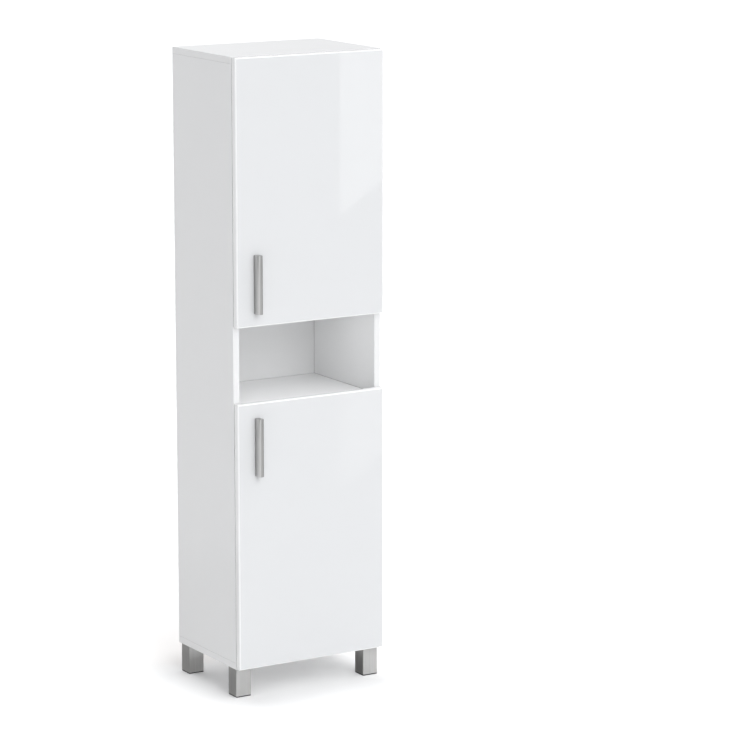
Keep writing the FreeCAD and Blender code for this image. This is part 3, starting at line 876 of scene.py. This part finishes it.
@dataclass
class ScrewSet:
    """Pan-head screws with a cross recess, drawn in the place of the plain CAD ones of one node.

    The recess, the head's rim and the tip are given as shares of the head's and the shank's sizes.
    """

    node: str
    body: Body
    heading: Heading
    head_length: float
    shank_radius: float
    recess_width: float = 0.24
    recess_reach: float = 0.62
    recess_depth: float = 0.55
    rim_height: float = 0.45
    tip_share: float = 0.3
    crease: float = 25.0
    spokes: int = 48
    turns: int = 9

    def head_height(self, share: float, angle: float) -> float:
        """How high the head's face stands.

        Args:
            share: The distance from the middle as a share of the head's radius.
            angle: The way round the head.

        Returns:
            A share of the head's length.
        """
        dome = self.rim_height + (1.0 - self.rim_height) * math.sqrt(max(0.0, 1.0 - share**2))
        arms = (abs(share * math.cos(angle)), abs(share * math.sin(angle)))
        in_cross = min(arms) < self.recess_width / 2 and max(arms) < self.recess_reach
        return dome - self.recess_depth if in_cross else dome

    def draw_screw(self, loft: Loft, low: Vector, high: Vector) -> None:
        """Draw one screw.

        Args:
            loft: The set's mesh.
            low: The lowest corner of the CAD screw.
            high: Its highest corner.
        """
        ahead = self.heading.vector
        side = Vector((ahead.y, ahead.z, ahead.x))
        other = ahead.cross(side)
        middle = (low + high) / 2
        half = abs((high - low).dot(ahead)) / 2
        head_radius = abs((high - low).dot(side)) / 2
        tip = middle - ahead * half
        face = middle + ahead * half
        neck = face - ahead * self.head_length

        def ring(centre: Vector, radius: float, rise: Optional[float] = None) -> list[Vector]:
            """One ring of points round the screw's axis."""
            points = []
            for spoke in range(self.spokes):
                angle = math.tau * spoke / self.spokes
                flat = side * math.cos(angle) + other * math.sin(angle)
                lift = 0.0 if rise is None else self.head_length * self.head_height(rise, angle)
                points.append(centre + flat * radius + ahead * lift)
            return points

        shank = self.shank_radius
        rings = [ring(tip, shank * self.tip_share), ring(tip + ahead * shank, shank)]
        rings += [ring(neck, shank), ring(neck, head_radius)]
        for turn in range(self.turns):
            share = 1.0 - turn / self.turns
            rings.append(ring(neck, head_radius * share, share))
        loft.draw(rings)

    def build(self) -> None:
        """Draw all the screws of the node as one piece."""
        loft = Loft(f"{self.node}_cross_head")
        for low, high in solids_of(self.node):
            self.draw_screw(loft, low, high)
        SCREW_METAL.finish_piece(loft.build(self.crease), self.body, self.node)


@dataclass
class Door:
    """A door leaf with its handle, hinges and screws."""

    level: Level
    ends: tuple[str, ...] = ("high", "low")

    def build(self) -> None:
        """Dress the leaf and the hinges, and draw the handle and the screws."""
        name = self.level.value
        GLOSS.coat(f"{name}_door")
        Handle(self.level).build()
        for end in self.ends:
            hinge = f"{name}_door_{end}_hinge"
            HINGE_METAL.coat(f"{hinge}_plate", f"{hinge}_arm", f"{hinge}_cup")
        SCREW_METAL.coat(f"{name}_hinge_pins")
        leaf = self.level.leaf
        ScrewSet(f"{name}_handle_screws", leaf, Heading.BACK, head_length=0.0022, shank_radius=0.002).build()
        ScrewSet(f"{name}_cup_screws", leaf, Heading.BACK, head_length=0.0012, shank_radius=0.0018).build()


# Studio


@dataclass(frozen=True)
class SoftLight:
    """A wide soft light, seen from the cabinet in one direction.

    Its azimuth counts from straight ahead of the doors towards the right.
    """

    azimuth: float
    elevation: float
    strength: float
    focus: float = 8.0

    def shine(self, sheet: NodeSheet, way: Wire) -> Wire:
        """How bright the light is in a direction.

        Args:
            sheet: The sky's node sheet.
            way: The direction.

        Returns:
            The brightness.
        """
        turn, rise = math.radians(self.azimuth), math.radians(self.elevation)
        axis = Vector((math.sin(turn) * math.cos(rise), -math.cos(turn) * math.cos(rise), math.sin(rise)))
        near = sheet.add("ShaderNodeVectorMath", {"operation": "DOT_PRODUCT"}, {0: way, 1: axis}, "Value")
        return self.strength * near.greater(0.0) ** self.focus


@dataclass(frozen=True)
class Card:
    """A card that only gloss and metal see: a bright one lights them and a dark one shades them."""

    name: str
    corners: tuple[Point, ...]
    brightness: float

    def build(self) -> None:
        """Stand the card in the studio."""
        data = bpy.data.meshes.new(self.name)
        data.from_pydata(self.corners, [], [range(len(self.corners))])
        paint = bpy.data.materials.new(f"{self.name}_light")
        paint.use_nodes = True
        sheet = NodeSheet(paint.node_tree)
        light = sheet.add(
            "ShaderNodeEmission", None, {"Color": (*WHITE, 1.0), "Strength": self.brightness}
        )
        sheet.feed(paint.node_tree.nodes["Material Output"], {"Surface": light})
        data.materials.append(paint)
        card = bpy.data.objects.new(self.name, data)
        bpy.context.scene.collection.objects.link(card)
        card.visible_camera = False
        card.visible_diffuse = False
        card.visible_shadow = False


@dataclass(frozen=True)
class FillLamp:
    """A small soft lamp that shines straight down and is not seen itself."""

    name: str
    centre: Point
    size: Span
    power: float

    def build(self) -> None:
        """Hang the lamp."""
        data = bpy.data.lights.new(self.name, "AREA")
        data.shape = "RECTANGLE"
        data.size, data.size_y = self.size
        data.energy = self.power
        lamp = bpy.data.objects.new(self.name, data)
        lamp.location = self.centre
        lamp.visible_camera = False
        lamp.visible_glossy = False
        bpy.context.scene.collection.objects.link(lamp)


@dataclass
class Studio:
    """The floor, the soft lights, the cards, the lamp in the niche and the camera."""

    floor_reach: float = 60.0
    floor_cells: int = 24
    backdrop: float = 1.1
    tint: Colour = (0.985, 0.99, 1.0)
    lights: tuple[SoftLight, ...] = (
        SoftLight(0.0, 90.0, 0.42, 3.0),
        SoftLight(0.0, 12.0, 0.74),
        SoftLight(0.0, 42.0, 1.80),
        SoftLight(45.0, 42.0, 0.49),
        SoftLight(90.0, 42.0, 1.43),
        SoftLight(180.0, 12.0, 0.92),
        SoftLight(180.0, 42.0, 1.62),
        SoftLight(0.0, 30.0, 2.42, 30.0),
        SoftLight(-30.0, 12.0, 0.90, 30.0),
    )
    cards: tuple[Card, ...] = (
        Card(
            "upper_reflector",
            ((0.894, -1.5, 1.045), (1.3, -1.5, 1.299), (1.3, -1.5, 1.95), (0.894, -1.5, 1.95)),
            brightness=2.2,
        ),
        Card(
            "lower_reflector",
            ((0.891, -1.5, 0.169), (1.3, -1.5, 0.444), (1.3, -1.5, 0.56), (0.891, -1.5, 0.56)),
            brightness=1.6,
        ),
        Card(
            "leg_shade",
            ((-1.0, -0.12, 0.0005), (0.18, -0.12, 0.0005), (0.18, 1.2, 0.0005), (-1.0, 1.2, 0.0005)),
            brightness=0.36,
        ),
        Card(
            "deep_shade",
            ((-0.02, -0.13, 0.001), (0.18, -0.13, 0.001), (0.18, 0.27, 0.001), (-0.02, 0.27, 0.001)),
            brightness=0.15,
        ),
    )
    niche_fill: FillLamp = FillLamp("niche_fill", centre=(0.0, -0.07, 1.0), size=(0.30, 0.12), power=0.055)
    lens: float = 159.628
    sensor: float = 36.0
    stand: Point = (-4.3654, -7.5879, 2.5729)
    turn: float = 31.5504
    tilt: float = 11.2508
    sight: float = 200.0

    def floor(self) -> None:
        """Lay the floor as a grid that is fine enough for its shading."""
        cells = self.floor_cells
        grid = bmesh.new()
        bmesh.ops.create_grid(grid, x_segments=cells, y_segments=cells, size=self.floor_reach)
        data = bpy.data.meshes.new("studio_floor")
        grid.to_mesh(data)
        grid.free()
        data.materials.append(PAPER.material())
        floor = bpy.data.objects.new("studio_floor", data)
        bpy.context.scene.collection.objects.link(floor)

    def sky(self) -> None:
        """Light from all round and from the soft lights, in front of a white backdrop."""
        world = bpy.data.worlds.new("soft_light")
        world.use_nodes = True
        bpy.context.scene.world = world
        sheet = NodeSheet(world.node_tree)
        way = sheet.add("ShaderNodeTexCoord", output="Generated")
        seen = sheet.add("ShaderNodeLightPath", output="Is Camera Ray")
        light = sum((source.shine(sheet, way) for source in self.lights), 0.0)
        sheet.feed(
            world.node_tree.nodes["Background"],
            {"Color": (*self.tint, 1.0), "Strength": self.backdrop * seen + light * (1.0 - seen)},
        )

    def camera(self) -> None:
        """Stand the camera where the picture was taken from."""
        data = bpy.data.cameras.new("camera")
        data.lens = self.lens
        data.sensor_width = self.sensor
        data.clip_end = self.sight
        made = bpy.data.objects.new("camera", data)
        turn, tilt = math.radians(self.turn), math.radians(self.tilt)
        ahead = Vector((
            math.sin(turn) * math.cos(tilt), math.cos(turn) * math.cos(tilt), -math.sin(tilt),
        ))
        aim = ahead.to_track_quat("-Z", "Y")
        made.matrix_world = Matrix.LocRotScale(Vector(self.stand), aim, None)
        bpy.context.scene.collection.objects.link(made)
        bpy.context.scene.camera = made

    def build(self) -> None:
        """Make the whole studio."""
        self.floor()
        self.sky()
        for card in self.cards:
            card.build()
        self.niche_fill.build()
        self.camera()
        bpy.context.scene.view_settings.view_transform = "Standard"
        LOG.info("studio: floor, lights, cards, lamp and camera")


def main() -> None:
    """Build the studio and every part of the cabinet."""
    logging.basicConfig(level=logging.INFO, format="%(message)s")
    Studio().build()
    Carcass().dress()
    for row in ("front", "back"):
        for side in ("left", "right"):
            Leg(f"{row}_{side}_leg").build()
    carcass = Body.CARCASS
    ScrewSet("leg_screws", carcass, Heading.DOWN, head_length=0.0024, shank_radius=0.0019).build()
    ScrewSet("hinge_plate_screws", carcass, Heading.LEFT, head_length=0.0016, shank_radius=0.0022).build()
    ScrewSet("hinge_arm_screws", carcass, Heading.LEFT, head_length=0.002, shank_radius=0.002).build()
    for level in Level:
        Door(level).build()


if __name__ == "__main__":
    main()
